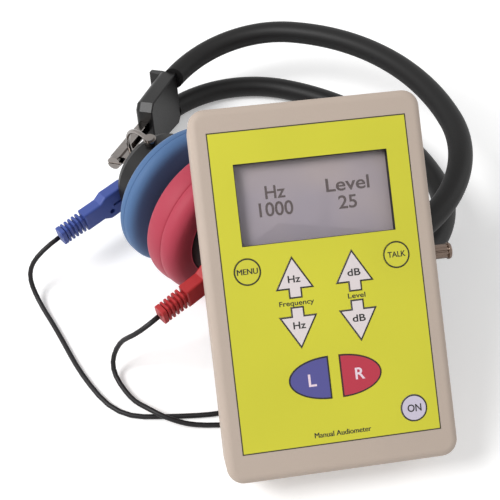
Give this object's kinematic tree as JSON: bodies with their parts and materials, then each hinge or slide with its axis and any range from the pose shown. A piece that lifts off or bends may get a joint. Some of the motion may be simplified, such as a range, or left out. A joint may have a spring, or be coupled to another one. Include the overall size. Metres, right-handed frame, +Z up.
{
  "type": "audiometer",
  "caption": "Hand-held screening audiometer with keypad and display, leaning on its two-band headset with coloured ear cushions.",
  "frame": {"origin": "middle of the footprint of the unit and headset, on the table", "axes": "+Z up from the table, +Y to the back over the headband, +X to the right of the unit"},
  "size_m": [0.2339, 0.2901, 0.123],
  "materials": {
    "case_plastic": "smooth",
    "overlay_yellow": "smooth",
    "lens_clear": "smooth",
    "lcd_grey": "smooth",
    "black_plastic": "smooth",
    "board_green": "smooth",
    "chip_black": "smooth",
    "dome_steel": "smooth",
    "key_white": "smooth",
    "key_yellow": "smooth",
    "key_pale": "smooth",
    "key_blue": "smooth",
    "key_red": "smooth",
    "cell_label": "smooth",
    "foot_rubber": "smooth",
    "nickel": "smooth",
    "band_vinyl": "smooth",
    "chrome_wire": "smooth",
    "cap_grey": "smooth",
    "cushion_blue": "smooth",
    "cushion_red": "smooth",
    "plug_blue": "smooth",
    "plug_red": "smooth"
  },
  "bodies": {
    "unit": {"front_shell": "case_plastic", "rear_shell": "case_plastic", "battery_door": "case_plastic", "keypad_overlay": "overlay_yellow", "window_lens": "lens_clear", "lcd_glass": "lcd_grey", "lcd_frame": "black_plastic", "left_slider": "black_plastic", "right_slider": "black_plastic", "left_line_plug": "black_plastic", "right_line_plug": "black_plastic", "display_spacers": "black_plastic", "main_board": "board_green", "board_chips": "chip_black", "key_domes": "dome_steel", "battery_contacts": "dome_steel", "case_screws": "dome_steel", "upper_band_spring": "dome_steel", "lower_band_spring": "dome_steel", "battery_cells": "cell_label", "rubber_feet": "foot_rubber", "side_socket": "nickel", "line_sockets": "nickel", "upper_band_cover": "band_vinyl", "lower_band_cover": "band_vinyl", "left_lead": "plug_blue", "left_coil": "plug_blue", "right_lead": "plug_red", "right_coil": "plug_red"},
    "menu_button": {"menu_key": "key_yellow"},
    "talk_button": {"talk_key": "key_yellow"},
    "power_button": {"power_key": "key_pale"},
    "frequency_up_button": {"frequency_up_key": "key_white"},
    "frequency_down_button": {"frequency_down_key": "key_white"},
    "level_up_button": {"level_up_key": "key_white"},
    "level_down_button": {"level_down_key": "key_white"},
    "left_tone_button": {"left_tone_key": "key_blue"},
    "right_tone_button": {"right_tone_key": "key_red"},
    "test_plug": {"side_plug": "nickel"},
    "left_hanger": {"left_arm": "chrome_wire", "left_arm_screw": "chrome_wire", "left_fork": "chrome_wire"},
    "left_earphone": {"left_capsule": "black_plastic", "left_capsule_cap": "cap_grey", "left_driver": "cap_grey", "left_cushion": "cushion_blue", "left_pivot_pins": "chrome_wire", "left_lead_plug": "plug_blue", "left_strain_relief": "plug_blue"},
    "right_hanger": {"right_arm": "chrome_wire", "right_arm_screw": "chrome_wire", "right_fork": "chrome_wire"},
    "right_earphone": {"right_capsule": "black_plastic", "right_capsule_cap": "cap_grey", "right_driver": "cap_grey", "right_cushion": "cushion_red", "right_pivot_pins": "chrome_wire", "right_lead_plug": "plug_red", "right_strain_relief": "plug_red"}
  },
  "joints": [
    {"name": "menu_press", "type": "slide", "parent": "unit", "child": "menu_button", "axis": [-0.0893, 0.6067, -0.7899], "range_m": [0, 0.00035], "stiffness_N_per_m": 4000},
    {"name": "talk_press", "type": "slide", "parent": "unit", "child": "talk_button", "axis": [-0.0893, 0.6067, -0.7899], "range_m": [0, 0.00035], "stiffness_N_per_m": 4000},
    {"name": "power_press", "type": "slide", "parent": "unit", "child": "power_button", "axis": [-0.0893, 0.6067, -0.7899], "range_m": [0, 0.00035], "stiffness_N_per_m": 4000},
    {"name": "frequency_up_press", "type": "slide", "parent": "unit", "child": "frequency_up_button", "axis": [-0.0893, 0.6067, -0.7899], "range_m": [0, 0.00035], "stiffness_N_per_m": 4000},
    {"name": "frequency_down_press", "type": "slide", "parent": "unit", "child": "frequency_down_button", "axis": [-0.0893, 0.6067, -0.7899], "range_m": [0, 0.00035], "stiffness_N_per_m": 4000},
    {"name": "level_up_press", "type": "slide", "parent": "unit", "child": "level_up_button", "axis": [-0.0893, 0.6067, -0.7899], "range_m": [0, 0.00035], "stiffness_N_per_m": 4000},
    {"name": "level_down_press", "type": "slide", "parent": "unit", "child": "level_down_button", "axis": [-0.0893, 0.6067, -0.7899], "range_m": [0, 0.00035], "stiffness_N_per_m": 4000},
    {"name": "left_tone_press", "type": "slide", "parent": "unit", "child": "left_tone_button", "axis": [-0.0893, 0.6067, -0.7899], "range_m": [0, 0.00035], "stiffness_N_per_m": 4000},
    {"name": "right_tone_press", "type": "slide", "parent": "unit", "child": "right_tone_button", "axis": [-0.0893, 0.6067, -0.7899], "range_m": [0, 0.00035], "stiffness_N_per_m": 4000},
    {"name": "test_plug_pull", "type": "slide", "parent": "unit", "child": "test_plug", "axis": [0.9893, 0.1456, 0], "range_m": [0, 0.0125]},
    {"name": "left_arm_slide", "type": "slide", "parent": "unit", "child": "left_hanger", "axis": [0.3137, 0.9236, -0.2202], "range_m": [0, 0.01], "deforming": ["left_lead"]},
    {"name": "left_earphone_tilt", "type": "hinge", "parent": "left_hanger", "child": "left_earphone", "pos_m": [-0.05509, 0.02235, 0.03685], "axis": [-0.117, 0.0328, 0.9926], "range_deg": [-6, 6], "deforming": ["left_lead"]},
    {"name": "right_arm_slide", "type": "slide", "parent": "unit", "child": "right_hanger", "axis": [0.9731, 0.1974, -0.1185], "range_m": [0, 0.01], "deforming": ["right_lead"]},
    {"name": "right_earphone_tilt", "type": "hinge", "parent": "right_hanger", "child": "right_earphone", "pos_m": [-0.01397, -0.02294, 0.04319], "axis": [-0.117, 0.0328, 0.9926], "range_deg": [-6, 6], "deforming": ["right_lead"]}
  ]
}
